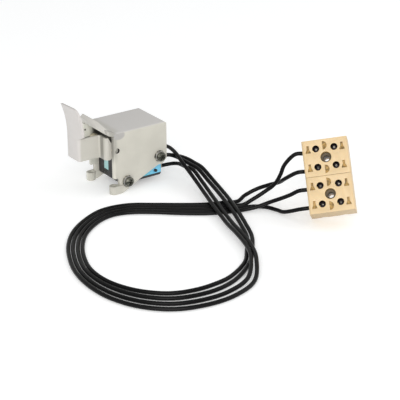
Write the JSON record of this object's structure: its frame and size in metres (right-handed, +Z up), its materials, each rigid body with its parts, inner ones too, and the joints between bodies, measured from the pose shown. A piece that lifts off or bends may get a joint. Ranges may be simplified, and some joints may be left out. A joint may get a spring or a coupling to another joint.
{
  "type": "microswitch",
  "caption": "Lever-operated microswitch unit: two snap-action switches side by side in a moulded housing with a folded sheet lever, black leads and screw terminal blocks.",
  "frame": {"origin": "midway between the two foot holes, on the mounting plane", "axes": "+X from the lever to the rear of the housing, +Y to its far side, +Z up"},
  "size_m": [0.173, 0.1751, 0.0544],
  "materials": {
    "grey_moulding": "satin",
    "painted_sheet": "satin",
    "steel": "zinc plated",
    "spring_steel": "bright",
    "cream_sleeve": "satin",
    "blue_moulding": "gloss",
    "black_moulding": "satin",
    "red_moulding": "gloss",
    "brass": "plain",
    "beige_moulding": "satin",
    "black_insulation": "gloss"
  },
  "bodies": {
    "base": {"housing": "grey_moulding", "pivot_pin": "steel", "return_spring": "spring_steel", "retaining_clip": "spring_steel", "near_case_half": "blue_moulding", "near_case_cover": "black_moulding", "near_com_tab": "brass", "near_nc_tab": "brass", "near_no_tab": "brass", "far_case_half": "blue_moulding", "far_case_cover": "black_moulding", "far_com_tab": "brass", "far_nc_tab": "brass", "far_no_tab": "brass", "switch_spacer": "black_moulding", "front_screw": "steel", "rear_screw": "steel", "flat_washers": "steel", "spring_washers": "spring_steel", "nuts": "steel", "upper_block": "beige_moulding", "lower_block": "beige_moulding", "clamp_tube_1": "brass", "clamp_tube_2": "brass", "clamp_tube_3": "brass", "clamp_tube_4": "brass", "upper_clamp_screws": "steel", "lower_clamp_screws": "steel", "wire_1": "black_insulation", "wire_2": "black_insulation", "wire_3": "black_insulation", "wire_4": "black_insulation"},
    "lever": {"lever": "painted_sheet", "pivot_bush": "cream_sleeve"},
    "near_plunger": {"near_plunger": "red_moulding"},
    "far_plunger": {"far_plunger": "red_moulding"}
  },
  "joints": [
    {"name": "lever_hinge", "type": "hinge", "parent": "base", "child": "lever", "pos_m": [0.0019, 0, 0.0264], "axis": [0, 1, 0], "range_deg": [0, 10], "stiffness_Nm_per_rad": 0.25, "springref_deg": -5.73, "deforming": ["return_spring"]},
    {"name": "near_plunger_slide", "type": "slide", "parent": "base", "child": "near_plunger", "axis": [0, 0, -1], "range_m": [0, 0.002]},
    {"name": "far_plunger_slide", "type": "slide", "parent": "base", "child": "far_plunger", "axis": [0, 0, -1], "range_m": [0, 0.002]}
  ],
  "couplings": [
    {"joint": "near_plunger_slide", "follows": "lever_hinge", "m_per_rad": 0.0111},
    {"joint": "far_plunger_slide", "follows": "lever_hinge", "m_per_rad": 0.0111}
  ]
}
